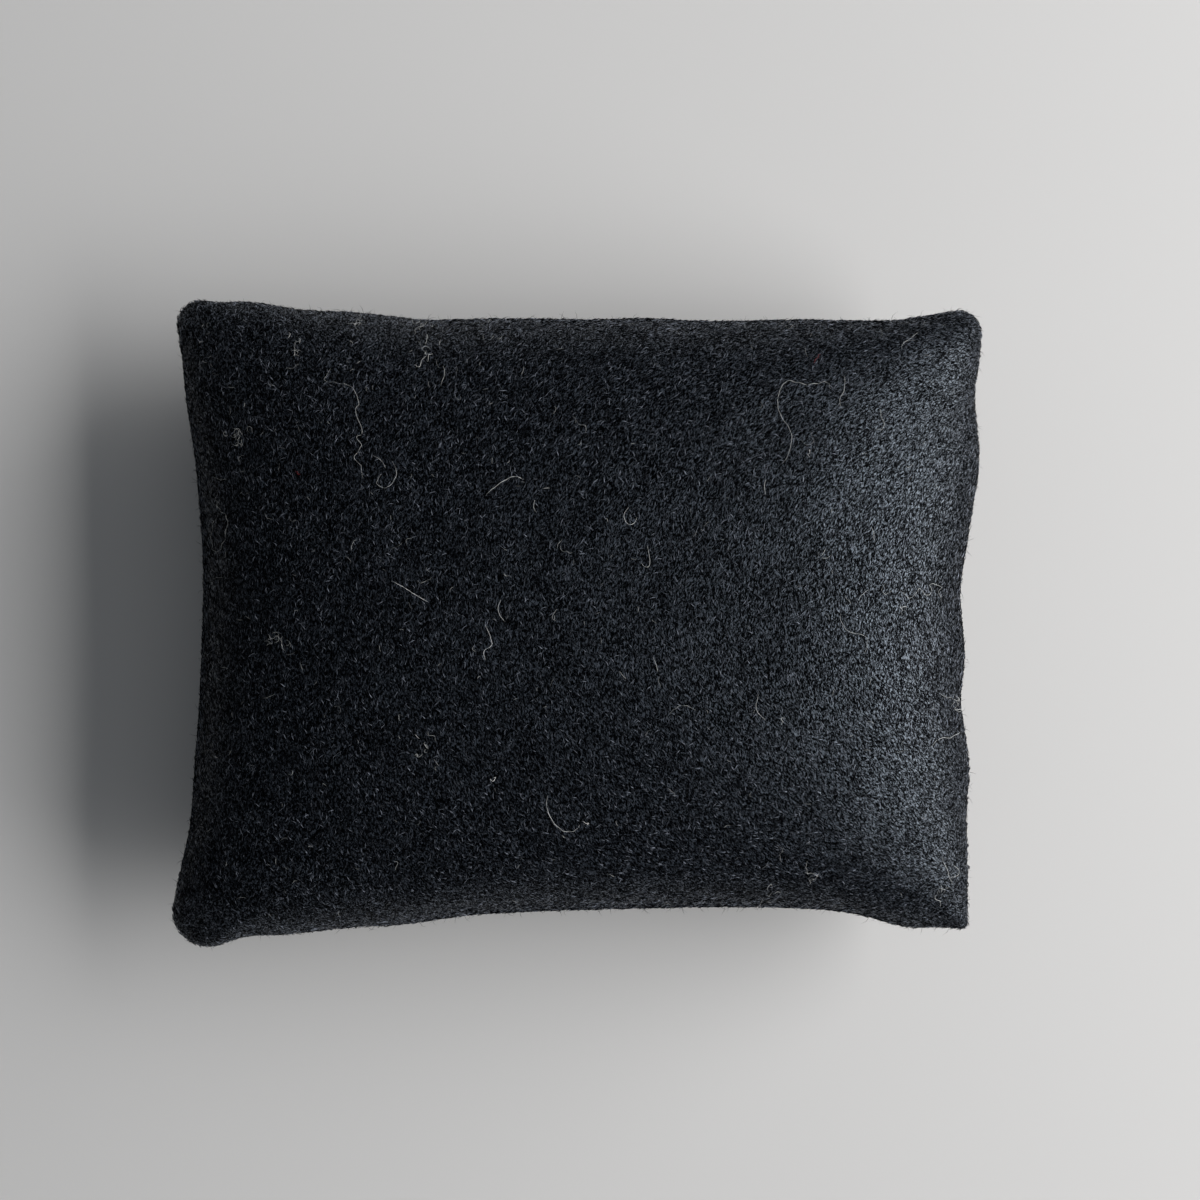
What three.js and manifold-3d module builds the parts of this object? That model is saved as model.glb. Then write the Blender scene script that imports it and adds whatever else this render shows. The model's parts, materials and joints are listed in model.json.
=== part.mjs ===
// Needle felting pad: a plump pillow of two black wool felt panels, sewn together by their edges,
// turned so that the seam allowances lie inside, filled with carded wool batts and closed by hand.
// Millimetres, +Z up. The pad lies on its belly, with the middle of its outline over the origin.
// Inside this file heights are measured from the seam, and one group lifts the sewn pad to its place.
import * as THREE from "three";
import { mergeVertices } from "three/addons/utils/BufferGeometryUtils.js";
import Module from "manifold-3d";

const wasm = await Module();
wasm.setup();

// The pad as a whole
const PAD_LENGTH = 150; // along X, over the corners
const PAD_WIDTH = 120; // along Y, over the corners
const CROWN_RISE = 27; // top of the crown above the seam
const SEAM_HEIGHT = 20.5; // seam above the surface that the pad lies on
const FLATTENING = 4.5; // how far that surface presses the belly in

// The outline: corners rounded off, and sides that the filling draws in
const CORNER_ROUND = 5.5;
const CRISP_CORNER_ROUND = 1.2; // the corner beside the closing stitches, poked out sharp
const RIGHT_DRAW_IN = 3;
const BACK_DRAW_IN = 2.5;
const LEFT_DRAW_IN = 5;
const FRONT_DRAW_IN = 5;
const DRAW_IN_FADE = 2; // how soon the drawn-in form is lost on the way from the seam to the crown
const CORNER_PINCH = 1; // 0 keeps the corners as full as the sides, 1 thins them out
const FOLD_ROUNDNESS = 0.3; // 0 makes the folded edge square, 1 lets it slope away
const FOLD_FLATNESS = 8; // how soon the folded edge is at its full height

// Felt and seam
const FELT_THICKNESS = 2;
const SEAM_ALLOWANCE = 7; // felt left inside the stitch line
const STITCH_SETBACK = 1.6; // stitch line behind the inner face of the wall
const CREASE_DEPTH = 1.2; // groove that the seam pulls into the sides
const CREASE_HEIGHT = 3.5; // how far from the seam the groove reaches
const CREASE_FADE = 6; // how close to a corner the groove runs before it fades out
const CLEARANCE = 0.3; // gap between neighbouring pieces

// Sewing thread
const THREAD_DIAMETER = 0.6;
const STITCH_LENGTH = 6; // running stitch round the pad
const KNOT_DIAMETER = 1.6;
const CLOSING_START = 8; // where the hand-sewn gap starts along the right side, from the crisp corner
const CLOSING_LENGTH = 56;
const WHIP_PITCH = 4; // one whip stitch to the next
const WHIP_BITE = 2.1; // how far a stitch reaches above and below the seam
const WHIP_REACH = 1.4; // half of its depth, from inside the felt to in front of the groove
const WHIP_OFFSET = 0.5; // middle of a stitch in front of the bottom of the groove

// Filling
const BATT_THICKNESS = 7; // one layer of carded wool, about

// Fineness of the curved surfaces
const SIDE_STEPS = 8;
const CORNER_STEPS = 4;
const RINGS = 10; // from the crown down to the seam
const RIM_CROWDING = 1.6; // above 1 sets the rings closer towards the seam
const LEAST_ROUND = 0.4; // sharpest corner of a line inside the outline
const THREAD_SIDES = 4;
const WHIP_STEPS = 6; // to a stitch
const SAME_POINT = 1e-4; // corners closer than this are one

const THREAD_RADIUS = THREAD_DIAMETER / 2;
const FOLD_BOTTOM = CLEARANCE / 2; // a panel's folded edge starts half a gap from the seam plane
const ALLOWANCE_TOP = FOLD_BOTTOM + FELT_THICKNESS;
const STITCH_INSET = FELT_THICKNESS + STITCH_SETBACK;
const RAW_EDGE_INSET = STITCH_INSET + SEAM_ALLOWANCE;
const THREAD_LEVEL = ALLOWANCE_TOP + CLEARANCE + THREAD_RADIUS; // stitches lying on the allowance
const KNOT_LEVEL = ALLOWANCE_TOP + CLEARANCE + KNOT_DIAMETER / 2;
const FILL_START = ALLOWANCE_TOP + CLEARANCE + Math.max(THREAD_DIAMETER, KNOT_DIAMETER) + CLEARANCE;

// Corners in order round the seam, from the front right one, and the draw-in of the side after each.
// inX and inY say how far a corner stays inside the pad's length and width.
const CORNERS = [
  { sideX: 1, sideY: -1, inX: 2.8, inY: 3, round: CRISP_CORNER_ROUND, drawIn: RIGHT_DRAW_IN },
  { sideX: 1, sideY: 1, inX: 0, inY: 1.7, round: CORNER_ROUND, drawIn: BACK_DRAW_IN },
  { sideX: -1, sideY: 1, inX: 0.7, inY: 0, round: CORNER_ROUND, drawIn: LEFT_DRAW_IN },
  { sideX: -1, sideY: -1, inX: 0, inY: 0, round: CORNER_ROUND, drawIn: FRONT_DRAW_IN },
];

const feltMaterial = () =>
  new THREE.MeshStandardMaterial({ color: 0x17191d, roughness: 0.95, metalness: 0 });
const threadMaterial = () =>
  new THREE.MeshStandardMaterial({ color: 0x0c0d0f, roughness: 0.6, metalness: 0 });
const woolMaterial = () =>
  new THREE.MeshStandardMaterial({ color: 0xe4dccb, roughness: 1, metalness: 0 });

function direction(angle, length = 1) {
  return new THREE.Vector2(Math.cos(angle), Math.sin(angle)).multiplyScalar(length);
}

// The pad's outline, or a line that runs inset inside it, anticlockwise from the start of the right side.
// Each side is a curve drawn in at its middle, and meets the corner arcs without a kink.
function outlinePath(inset) {
  const arcs = CORNERS.map(({ sideX, sideY, inX, inY, round }) => {
    const radius = Math.max(round - inset, LEAST_ROUND);
    const x = sideX * (PAD_LENGTH / 2 - inX - inset - radius);
    const y = sideY * (PAD_WIDTH / 2 - inY - inset - radius);
    return { centre: new THREE.Vector2(x, y), radius };
  });
  const facings = CORNERS.map((_, i) => (i * Math.PI) / 2);
  const splays = CORNERS.map(({ drawIn }, i) => {
    const span = arcs[i].centre.distanceTo(arcs[(i + 1) % CORNERS.length].centre);
    return Math.asin((4 * drawIn) / span);
  });
  const path = new THREE.CurvePath();
  CORNERS.forEach((_, i) => {
    const next = (i + 1) % CORNERS.length;
    const leaving = facings[i] + splays[i];
    const arriving = facings[i] - splays[i];
    const start = arcs[i].centre.clone().add(direction(leaving, arcs[i].radius));
    const end = arcs[next].centre.clone().add(direction(arriving, arcs[next].radius));
    const third = start.distanceTo(end) / 3;
    const afterStart = start.clone().add(direction(leaving + Math.PI / 2, third));
    const beforeEnd = end.clone().sub(direction(arriving + Math.PI / 2, third));
    path.add(new THREE.CubicBezierCurve(start, afterStart, beforeEnd, end));
    const { centre, radius } = arcs[next];
    const turnEnd = facings[i] + Math.PI / 2 + splays[next];
    path.add(new THREE.EllipseCurve(centre.x, centre.y, radius, radius, arriving, turnEnd));
  });
  return path;
}

function outlinePoints(inset) {
  return outlinePath(inset).curves.flatMap((curve, i) => {
    const steps = i % 2 === 0 ? SIDE_STEPS : CORNER_STEPS;
    return curve.getSpacedPoints(steps).slice(0, -1);
  });
}

// A closed triangle mesh as a solid that can be cut and joined
function solidFrom(vertProperties, triVerts) {
  return new wasm.Manifold(new wasm.Mesh({ numProp: 3, vertProperties, triVerts }));
}

function solidOf(geometry) {
  geometry.deleteAttribute("normal");
  geometry.deleteAttribute("uv");
  const merged = mergeVertices(geometry, SAME_POINT);
  return solidFrom(new Float32Array(merged.attributes.position.array), new Uint32Array(merged.index.array));
}

function meshOf(name, solid, material) {
  const { vertProperties, triVerts } = solid.getMesh();
  const geometry = new THREE.BufferGeometry();
  geometry.setAttribute("position", new THREE.BufferAttribute(vertProperties, 3));
  geometry.setIndex(new THREE.BufferAttribute(triVerts, 1));
  geometry.computeVertexNormals();
  const mesh = new THREE.Mesh(geometry, material);
  mesh.name = name;
  return mesh;
}

// Half of the pillow's form, from the seam to its crown, or with side -1 down to its belly.
// Its rings take up the outline's drawn-in sides towards the seam. Its sections stand on the folded edge,
// two layers of felt high, as ellipses that thin out into the corners, and are flat beyond flatAt,
// where the pad lies on something.
function pillowHalf(side, inset, rise, flatAt) {
  const outline = outlinePoints(inset);
  const count = outline.length;
  const fold = Math.max(2 * FELT_THICKNESS - inset, 0);
  const positions = [0, 0, side * Math.min(rise, flatAt)];
  for (let ring = 1; ring <= RINGS; ring++) {
    const angle = (Math.PI / 2) * (1 - Math.pow(1 - ring / RINGS, RIM_CROWDING));
    const outwards = ring < RINGS ? Math.sin(angle) : 1;
    for (const edge of outline) {
      const across = Math.abs(edge.x) / PAD_LENGTH;
      const along = Math.abs(edge.y) / PAD_WIDTH;
      const cornering = Math.min(across, along) / Math.max(across, along);
      const foldLevel = (1 - outwards ** FOLD_FLATNESS) ** FOLD_ROUNDNESS;
      const thinning = (1 - (cornering * outwards) ** 2) ** (CORNER_PINCH / 2);
      const crownLevel = Math.sqrt(1 - outwards ** 2) * thinning;
      const height = Math.min(fold * foldLevel + (rise - fold) * crownLevel, flatAt);
      const groove = CREASE_DEPTH * (1 - cornering ** CREASE_FADE);
      const straight = edge.clone().divideScalar(2 * Math.max(across, along));
      const plan = straight.lerp(edge, outwards ** DRAW_IN_FADE).multiplyScalar(outwards);
      plan.setLength(plan.length() - groove * Math.max(0, 1 - height / CREASE_HEIGHT) ** 2);
      positions.push(plan.x, plan.y, side * height);
    }
  }
  const base = positions.length / 3;
  positions.push(0, 0, 0);
  const triangles = [];
  const addTriangle = (a, b, c) => triangles.push(...(side > 0 ? [a, b, c] : [a, c, b]));
  for (let i = 0; i < count; i++) {
    const next = (i + 1) % count;
    addTriangle(0, 1 + i, 1 + next);
    for (let ring = 0; ring < RINGS - 1; ring++) {
      const inner = 1 + ring * count;
      const outer = inner + count;
      addTriangle(inner + i, outer + i, outer + next);
      addTriangle(inner + i, outer + next, inner + next);
    }
    const rim = 1 + (RINGS - 1) * count;
    addTriangle(base, rim + next, rim + i);
  }
  return solidFrom(new Float32Array(positions), new Uint32Array(triangles));
}

// Everything between two heights, given in either order
function between(heightA, heightB) {
  const slab = new THREE.BoxGeometry(2 * PAD_LENGTH, 2 * PAD_WIDTH, Math.abs(heightB - heightA));
  return solidOf(slab.translate(0, 0, (heightA + heightB) / 2));
}

// An upright block with the outline's form, inset from it
function outlineBlock(inset, low, high) {
  const shape = new THREE.Shape(outlinePoints(inset));
  const block = new THREE.ExtrudeGeometry(shape, { depth: high - low, bevelEnabled: false });
  return solidOf(block.translate(0, 0, low));
}

// A thread of even thickness along straight stretches, mitred where they meet
function threadAlong(points, radius) {
  const along = points.slice(1).map((point, i) => point.clone().sub(points[i]).normalize());
  const across = new THREE.Vector3(0, 0, 1).cross(along[0]).normalize();
  const up = along[0].clone().cross(across);
  let ring = Array.from({ length: THREAD_SIDES }, (_, i) => {
    const turn = direction((2 * Math.PI * (i + 0.5)) / THREAD_SIDES, radius);
    return points[0].clone().addScaledVector(across, turn.x).addScaledVector(up, turn.y);
  });
  const positions = [];
  points.forEach((point, i) => {
    const before = along[Math.max(i - 1, 0)];
    const after = along[Math.min(i, along.length - 1)];
    const facing = before.clone().add(after).normalize();
    ring = ring.map((corner) => {
      const step = point.clone().sub(corner).dot(facing) / before.dot(facing);
      return corner.clone().addScaledVector(before, step);
    });
    ring.forEach((corner) => positions.push(...corner));
  });
  const triangles = [];
  for (let i = 0; i < points.length - 1; i++) {
    for (let j = 0; j < THREAD_SIDES; j++) {
      const a = i * THREAD_SIDES + j;
      const b = i * THREAD_SIDES + ((j + 1) % THREAD_SIDES);
      triangles.push(a, b, b + THREAD_SIDES, a, b + THREAD_SIDES, a + THREAD_SIDES);
    }
  }
  const last = (points.length - 1) * THREAD_SIDES;
  for (let j = 1; j < THREAD_SIDES - 1; j++) {
    triangles.push(0, j + 1, j, last, last + j, last + j + 1);
  }
  return solidFrom(new Float32Array(positions), new Uint32Array(triangles));
}

function leastGapToItself(points, neighbours) {
  let least = Infinity;
  points.forEach((point, i) => {
    points.slice(i + neighbours).forEach((other) => {
      least = Math.min(least, point.distanceTo(other) - THREAD_DIAMETER);
    });
  });
  return least;
}

// Running stitch: from a knot at one end of the hand-sewn gap, round the pad, to a knot at its other end.
// Each stitch lies on the upper or the lower allowance, and between stitches the thread goes through both.
const stitchPath = outlinePath(STITCH_INSET);
const sewnLength = stitchPath.getLength() - CLOSING_LENGTH;
const stitchCount = 2 * Math.round((sewnLength / STITCH_LENGTH - 1) / 2) + 1;

function stitchPlace(i) {
  const distance = CLOSING_START + CLOSING_LENGTH + (sewnLength * i) / stitchCount;
  return stitchPath.getPoint((distance / stitchPath.getLength()) % 1);
}

function stitchLevel(i) {
  return i % 2 === 0 ? THREAD_LEVEL : -THREAD_LEVEL;
}

const stitchPoints = [];
for (let i = 0; i <= stitchCount; i++) {
  const place = stitchPlace(i);
  if (i > 0) stitchPoints.push(new THREE.Vector3(place.x, place.y, stitchLevel(i - 1)));
  if (i < stitchCount) stitchPoints.push(new THREE.Vector3(place.x, place.y, stitchLevel(i)));
}

function knottedThread(spread) {
  const knots = [stitchPoints[0], stitchPoints.at(-1)].map(({ x, y }) => {
    const knot = new THREE.IcosahedronGeometry(KNOT_DIAMETER / 2 + spread);
    return solidOf(knot.translate(x, y, KNOT_LEVEL));
  });
  return wasm.Manifold.union([threadAlong(stitchPoints, THREAD_RADIUS + spread), ...knots]);
}

const seamThread = knottedThread(0);
const seamTunnel = knottedThread(CLEARANCE);

// Whip stitch: the closing thread winds along the seam, inside the felt and out across the groove
const groovePath = outlinePath(CREASE_DEPTH);
const whipPoints = [];
const whipSteps = Math.round(CLOSING_LENGTH / WHIP_PITCH) * WHIP_STEPS;
for (let i = 0; i <= whipSteps; i++) {
  const share = (CLOSING_START + (CLOSING_LENGTH * i) / whipSteps) / groovePath.getLength();
  const outwards = direction(groovePath.getTangent(share).angle() - Math.PI / 2);
  const turn = Math.PI + (2 * Math.PI * i) / WHIP_STEPS;
  const plan = groovePath.getPoint(share).addScaledVector(outwards, WHIP_OFFSET + WHIP_REACH * Math.cos(turn));
  whipPoints.push(new THREE.Vector3(plan.x, plan.y, WHIP_BITE * Math.sin(turn)));
}
const closingThread = threadAlong(whipPoints, THREAD_RADIUS);
const closingTunnel = threadAlong(whipPoints, THREAD_RADIUS + CLEARANCE);
console.log("closing thread, least gap to itself:", leastGapToItself(whipPoints, WHIP_STEPS).toFixed(2), "mm");

// A panel: a felt wall of even thickness whose edge is folded in along the seam as an allowance
function feltPanel(side, rise, flatAt) {
  const highest = side * (rise + FELT_THICKNESS);
  const outside = pillowHalf(side, 0, rise, flatAt);
  const hollow = pillowHalf(side, FELT_THICKNESS, rise - FELT_THICKNESS, flatAt - FELT_THICKNESS);
  return outside
    .intersect(between(side * FOLD_BOTTOM, highest))
    .subtract(hollow.intersect(between(side * ALLOWANCE_TOP, highest)))
    .subtract(outlineBlock(RAW_EDGE_INSET, -ALLOWANCE_TOP - CLEARANCE, ALLOWANCE_TOP + CLEARANCE))
    .subtract(seamTunnel)
    .subtract(closingTunnel);
}

// Layers of wool between the allowance and the crown or the belly, numbered away from the seam
function woolLayers(side, rise, flatAt) {
  const inset = FELT_THICKNESS + CLEARANCE;
  const fillEnd = Math.min(rise, flatAt) - inset;
  const fill = pillowHalf(side, inset, rise - inset, flatAt - inset);
  const count = Math.max(1, Math.round((fillEnd - FILL_START) / BATT_THICKNESS));
  const step = (fillEnd + CLEARANCE - FILL_START) / count;
  return Array.from({ length: count }, (_, i) => {
    const low = FILL_START + i * step;
    return fill.intersect(between(side * low, side * (low + step - CLEARANCE)));
  });
}

const bellyDrop = SEAM_HEIGHT + FLATTENING;
const coreEnd = FILL_START - CLEARANCE;
const sewnPad = new THREE.Group();
sewnPad.position.z = SEAM_HEIGHT;
sewnPad.add(meshOf("bottom_panel", feltPanel(-1, bellyDrop, SEAM_HEIGHT), feltMaterial()));
woolLayers(-1, bellyDrop, SEAM_HEIGHT).forEach((layer, i) => {
  sewnPad.add(meshOf(`wool_batt_lower_${i + 1}`, layer, woolMaterial()));
});
const core = outlineBlock(RAW_EDGE_INSET + CLEARANCE, -coreEnd, coreEnd);
sewnPad.add(meshOf("wool_batt_core", core, woolMaterial()));
woolLayers(1, CROWN_RISE, CROWN_RISE).forEach((layer, i) => {
  sewnPad.add(meshOf(`wool_batt_upper_${i + 1}`, layer, woolMaterial()));
});
sewnPad.add(meshOf("top_panel", feltPanel(1, CROWN_RISE, CROWN_RISE), feltMaterial()));
sewnPad.add(meshOf("seam_thread", seamThread, threadMaterial()));
sewnPad.add(meshOf("closing_thread", closingThread, threadMaterial()));

const pad = new THREE.Group();
pad.add(sewnPad);

export default pad;
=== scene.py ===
import json
import math

import bmesh
import bpy
import numpy as np
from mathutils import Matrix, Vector
from mathutils.bvhtree import BVHTree

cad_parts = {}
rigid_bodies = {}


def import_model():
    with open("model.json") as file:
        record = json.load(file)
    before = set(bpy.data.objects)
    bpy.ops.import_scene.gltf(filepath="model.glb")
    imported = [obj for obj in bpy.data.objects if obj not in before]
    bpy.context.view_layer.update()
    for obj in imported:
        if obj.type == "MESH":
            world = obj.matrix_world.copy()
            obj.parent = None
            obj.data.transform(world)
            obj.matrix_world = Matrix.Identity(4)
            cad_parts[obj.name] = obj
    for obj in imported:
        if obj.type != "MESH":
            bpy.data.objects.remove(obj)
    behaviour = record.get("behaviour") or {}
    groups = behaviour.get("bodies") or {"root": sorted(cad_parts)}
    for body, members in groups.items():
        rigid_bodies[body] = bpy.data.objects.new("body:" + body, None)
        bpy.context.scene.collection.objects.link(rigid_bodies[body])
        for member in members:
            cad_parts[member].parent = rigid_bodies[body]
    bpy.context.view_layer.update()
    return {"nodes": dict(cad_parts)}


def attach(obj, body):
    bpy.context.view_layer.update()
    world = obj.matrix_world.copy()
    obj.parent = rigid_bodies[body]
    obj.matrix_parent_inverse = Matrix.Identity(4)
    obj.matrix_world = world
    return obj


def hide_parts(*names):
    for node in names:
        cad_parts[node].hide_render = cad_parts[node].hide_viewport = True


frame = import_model()

# Felt panels: two pieces of black wool felt, 2 mm thick, sewn face to face along the outline and turned,
# so that each has its seam allowance folded in. The filling swells them and draws their sides in,
# and the surface that the pad lies on presses the lower one flat.
PAD_LENGTH = 0.150
PAD_WIDTH = 0.120
CROWN_RISE = 0.0265
SEAM_HEIGHT = 0.0205
FLATTENING = 0.0045  # how far the surface that the pad lies on presses the belly in
BELLY_DROP = SEAM_HEIGHT + FLATTENING
FELT_THICKNESS = 0.002
FOLD_GAP = 0.00015  # half of the gap between the two folded edges
FOLD_ROUNDNESS = 0.3  # 0 makes the folded edge square, 1 lets it slope away
FOLD_FLATNESS = 8  # how soon the folded edge is at its full height
ALLOWANCE_WIDTH = 0.0106
CREASE_DEPTH = 0.0012  # groove that the seam pulls into the sides
CREASE_HEIGHT = 0.0035  # how far from the seam the groove reaches
CREASE_FADE = 6  # how close to a corner the groove runs before it fades out
DRAW_IN_FADE = 3  # how soon the drawn-in form is lost on the way from the seam to the crown
CORNER_FADE = 10  # the same for what is sharp in it, such as the corners
TINY = 1e-9  # keeps a length that is divided by from being zero

# Corners anticlockwise from the front right: direction, distance inside the length and width, rounding.
# The side after each: how far it is drawn in, how square its hollow is, where its deepest point tends,
# and its waves over the uneven filling, each as a place along the side, a height and a width.
CORNERS = [
    dict(
        x=1, y=-1, in_x=0.0027, in_y=0.0034, round=0.0012, draw_in=0.0021, square=2.0, skew=1.0,
        waves=[
            (-0.046, 0.0003, 0.008), (-0.027, 0.0008, 0.006), (-0.014, -0.0008, 0.005),
            (0.006, -0.0013, 0.008), (0.029, 0.0012, 0.008), (0.043, -0.0007, 0.005),
        ],
    ),
    dict(
        x=1, y=1, in_x=0.0002, in_y=0.0020, round=0.0042, draw_in=0.0029, square=5.0, skew=1.0,
        waves=[
            (-0.061, 0.0018, 0.008), (-0.043, 0.0007, 0.009), (-0.027, -0.0005, 0.008),
            (0.013, 0.0004, 0.006), (0.040, 0.0004, 0.008), (0.060, -0.0005, 0.007),
        ],
    ),
    dict(
        x=-1, y=1, in_x=0.0009, in_y=0.0002, round=0.0042, draw_in=0.0055, square=2.1, skew=1.0,
        waves=[(-0.037, -0.0007, 0.008), (0.010, -0.0003, 0.010), (0.041, 0.0005, 0.008)],
    ),
    dict(
        x=-1, y=-1, in_x=0.0001, in_y=0.0002, round=0.0064, draw_in=0.0057, square=3.0, skew=1.2,
        waves=[(-0.064, -0.0023, 0.007), (-0.032, 0.0008, 0.009), (0.062, 0.0024, 0.008)],
    ),
]
WAVE_FADE = 8  # how close to a corner the waves run before they fade out

# Fineness: points along each side and round each corner, directions from the pad's middle,
# and how many neighbouring directions the outline is eased over, pass by pass
SIDE_POINTS = 240
CORNER_POINTS = 60
DIRECTIONS = 1440
EASING_SPANS = (40, 30, 20)


def seam_outline():
    """Points along the pad's outline, anticlockwise from the start of the right side."""
    arcs = []
    for c in CORNERS:
        centre = np.array([
            c["x"] * (PAD_LENGTH / 2 - c["in_x"] - c["round"]),
            c["y"] * (PAD_WIDTH / 2 - c["in_y"] - c["round"]),
        ])
        arcs.append((centre, c["round"]))
    points = []
    for i, c in enumerate(CORNERS):
        (centre, radius), (next_centre, next_radius) = arcs[i], arcs[(i + 1) % 4]
        facing = i * math.pi / 2
        span = np.linalg.norm(next_centre - centre)
        splay = math.atan(2 * c["square"] * c["draw_in"] / span)
        after = CORNERS[(i + 1) % 4]
        next_span = np.linalg.norm(arcs[(i + 2) % 4][0] - next_centre)
        next_splay = math.atan(2 * after["square"] * after["draw_in"] / next_span)
        start = centre + radius * np.array([math.cos(facing + splay), math.sin(facing + splay)])
        end = next_centre + next_radius * np.array([math.cos(facing - splay), math.sin(facing - splay)])
        t = np.linspace(0, 1, SIDE_POINTS, endpoint=False)
        chord = start + np.outer(t, end - start)
        hollow = c["draw_in"] * (1 - np.abs(2 * t ** c["skew"] - 1) ** c["square"])
        for place, height, width in c["waves"]:
            away = (chord[:, (i + 1) % 2] - place) / width
            hollow -= height * np.exp(-away ** 2) * (1 - np.abs(2 * t - 1) ** WAVE_FADE)
        inwards = -np.array([math.cos(facing), math.sin(facing)])
        points.append(chord + np.outer(hollow, inwards))
        turn = np.linspace(facing - splay, facing + math.pi / 2 + next_splay, CORNER_POINTS, endpoint=False)
        points.append(next_centre + next_radius * np.stack([np.cos(turn), np.sin(turn)], 1))
    return np.concatenate(points)


def outline_offset(u, v):
    """How far the outline lies from a plain rectangle in each direction from the pad's middle, in full
    and eased over the neighbouring directions."""
    line = seam_outline()
    angles = np.arctan2(line[:, 1], line[:, 0])
    order = np.argsort(angles)
    even = np.linspace(-math.pi, math.pi, DIRECTIONS, endpoint=False)
    rim = np.stack([np.interp(even, angles[order], line[order, i], period=2 * math.pi) for i in (0, 1)], -1)
    square = np.stack([np.cos(even) / PAD_LENGTH, np.sin(even) / PAD_WIDTH], -1)
    offset = rim - np.array([PAD_LENGTH, PAD_WIDTH]) / 2 * square / np.abs(square).max(1, keepdims=True)
    eased = offset
    for span in EASING_SPANS:
        eased = sum(np.roll(eased, i, 0) for i in range(-span, span + 1)) / (2 * span + 1)
    bearing = np.arctan2(v * PAD_WIDTH, u * PAD_LENGTH)
    return [
        np.stack([np.interp(bearing, even, each[:, i], period=2 * math.pi) for i in (0, 1)], -1)
        for each in (offset, eased)
    ]


def pillow_grid(columns, rows):
    """Square coordinates of a panel's grid, with lines crowded towards the seam."""
    u = np.sin(math.pi / 2 * np.linspace(-1, 1, columns + 1))
    v = np.sin(math.pi / 2 * np.linspace(-1, 1, rows + 1))
    return np.meshgrid(u, v)


def pillow_surface(u, v, side, inset=0.0):
    """Points of a panel's outer face, or of its inner face a felt's thickness inside. Its sections stand on
    the folded edge as ellipses that thin out into the corners, and the lower panel is flat where it lies.
    Heights are from the seam, and side -1 gives the lower panel."""
    rise = (CROWN_RISE if side > 0 else BELLY_DROP) - inset
    flat_at = (CROWN_RISE if side > 0 else SEAM_HEIGHT) - inset
    base = FOLD_GAP + FELT_THICKNESS if inset else 0
    fold = 0 if inset else 2 * FELT_THICKNESS
    reach = np.maximum(np.maximum(np.abs(u), np.abs(v)), TINY)
    edge_u, edge_v = u / reach, v / reach
    offset, eased = outline_offset(u, v)
    shrink = np.array([1 - 2 * inset / PAD_LENGTH, 1 - 2 * inset / PAD_WIDTH])
    r = reach[..., None]
    plan = np.stack([u * PAD_LENGTH / 2, v * PAD_WIDTH / 2], -1)
    plan = (plan + r ** DRAW_IN_FADE * (eased + r ** CORNER_FADE * (offset - eased))) * shrink
    cornering = np.minimum(np.abs(edge_u), np.abs(edge_v))
    fold_level = np.clip((1 - u ** FOLD_FLATNESS) * (1 - v ** FOLD_FLATNESS), 0, 1) ** FOLD_ROUNDNESS
    crown_level = np.sqrt(np.clip(1 - reach ** 2, 0, 1) * (1 - (cornering * reach) ** 2))
    height = np.minimum(base + fold * fold_level + (rise - fold - base) * crown_level, flat_at)
    groove = CREASE_DEPTH * (1 - cornering ** CREASE_FADE) * np.clip(1 - height / CREASE_HEIGHT, 0, 1) ** 2
    if not inset:
        plan = plan * (1 - groove / np.maximum(np.linalg.norm(plan, axis=-1), TINY))[..., None]
    return np.concatenate([plan, (side * height)[..., None]], -1)


def grid_rim(columns, rows):
    """Numbers of the points along a grid's border, anticlockwise."""
    number = np.arange((rows + 1) * (columns + 1)).reshape(rows + 1, columns + 1)
    return np.concatenate([number[0, :-1], number[:-1, -1], number[-1, :0:-1], number[:0:-1, 0]])


def grid_faces(columns, rows, upwards):
    """A grid's faces, each as the numbers of its points, facing upwards or downwards."""
    number = np.arange((rows + 1) * (columns + 1)).reshape(rows + 1, columns + 1)
    quads = np.stack([number[:-1, :-1], number[:-1, 1:], number[1:, 1:], number[1:, :-1]], -1).reshape(-1, 4)
    return quads if upwards else quads[:, ::-1]


def smooth(mesh):
    mesh.polygons.foreach_set("use_smooth", [True] * len(mesh.polygons))


def new_piece(name, points, faces, material=None):
    """A smooth mesh, as an object in the scene."""
    mesh = bpy.data.meshes.new(name)
    mesh.from_pydata(np.asarray(points).tolist(), [], np.asarray(faces).tolist())
    if material:
        mesh.materials.append(material)
    smooth(mesh)
    mesh.update()
    piece = bpy.data.objects.new(name, mesh)
    bpy.context.scene.collection.objects.link(piece)
    return piece


def add_node(tree, kind, inputs=(), **settings):
    """A node with its settings, its inputs set to values or linked to other nodes' outputs."""
    node = tree.nodes.new(kind)
    for name, value in settings.items():
        setattr(node, name, value)
    for key, value in dict(inputs).items():
        if isinstance(value, bpy.types.NodeSocket):
            tree.links.new(value, node.inputs[key])
        else:
            node.inputs[key].default_value = value
    return node


def maths_in(tree):
    """A short form for a tree's maths nodes: an operation on values and on other nodes' outputs."""
    def maths(operation, *values):
        return add_node(tree, "ShaderNodeMath", dict(enumerate(values)), operation=operation).outputs[0]

    return maths


def noise(tree, place, **inputs):
    """A noise texture's value at a place."""
    return add_node(tree, "ShaderNodeTexNoise", {"Vector": place, **inputs}).outputs["Fac"]


def new_material(name, **sockets):
    """A material and its tree and shader, with the shader's even values set on its own sockets."""
    material = bpy.data.materials.new(name)
    material.use_nodes = True
    tree = material.node_tree
    shader = tree.nodes["Principled BSDF"]
    for socket, value in sockets.items():
        shader.inputs[socket.replace("_", " ")].default_value = value
    return material, tree, shader


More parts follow.
